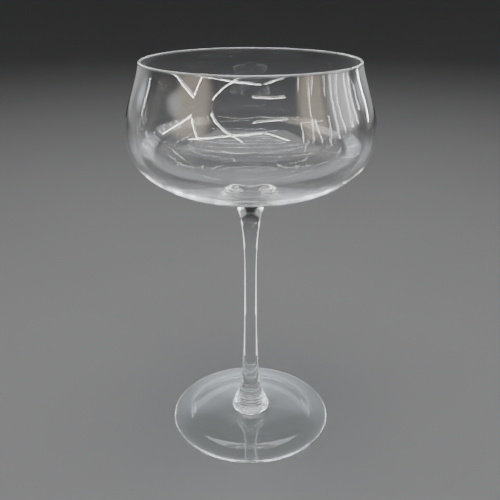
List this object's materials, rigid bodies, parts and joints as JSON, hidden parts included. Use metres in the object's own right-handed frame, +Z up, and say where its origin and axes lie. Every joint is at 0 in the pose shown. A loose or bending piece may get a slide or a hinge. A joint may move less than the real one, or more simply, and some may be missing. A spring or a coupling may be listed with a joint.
{
  "type": "martini glass",
  "caption": "Clear stemmed cocktail glass with a wide coupe bowl that turns in at the rim, a slim drawn stem, a small base knop and a round flat foot.",
  "frame": {"origin": "centre of the flat ring that the foot rests on", "axes": "+Z up along the axis of the stem, from the foot to the rim"},
  "size_m": [0.1024, 0.1024, 0.17],
  "materials": {
    "bowl_crystal": "clear blown crystal, fire-polished",
    "stem_crystal": "clear drawn crystal, fire-polished",
    "knop_crystal": "clear tooled crystal with faint turning rings",
    "foot_crystal": "clear spun crystal, fine wear on the resting ring"
  },
  "bodies": {
    "root": {"bowl": "bowl_crystal", "stem": "stem_crystal", "base_knop": "knop_crystal", "foot": "foot_crystal"}
  },
  "joints": []
}
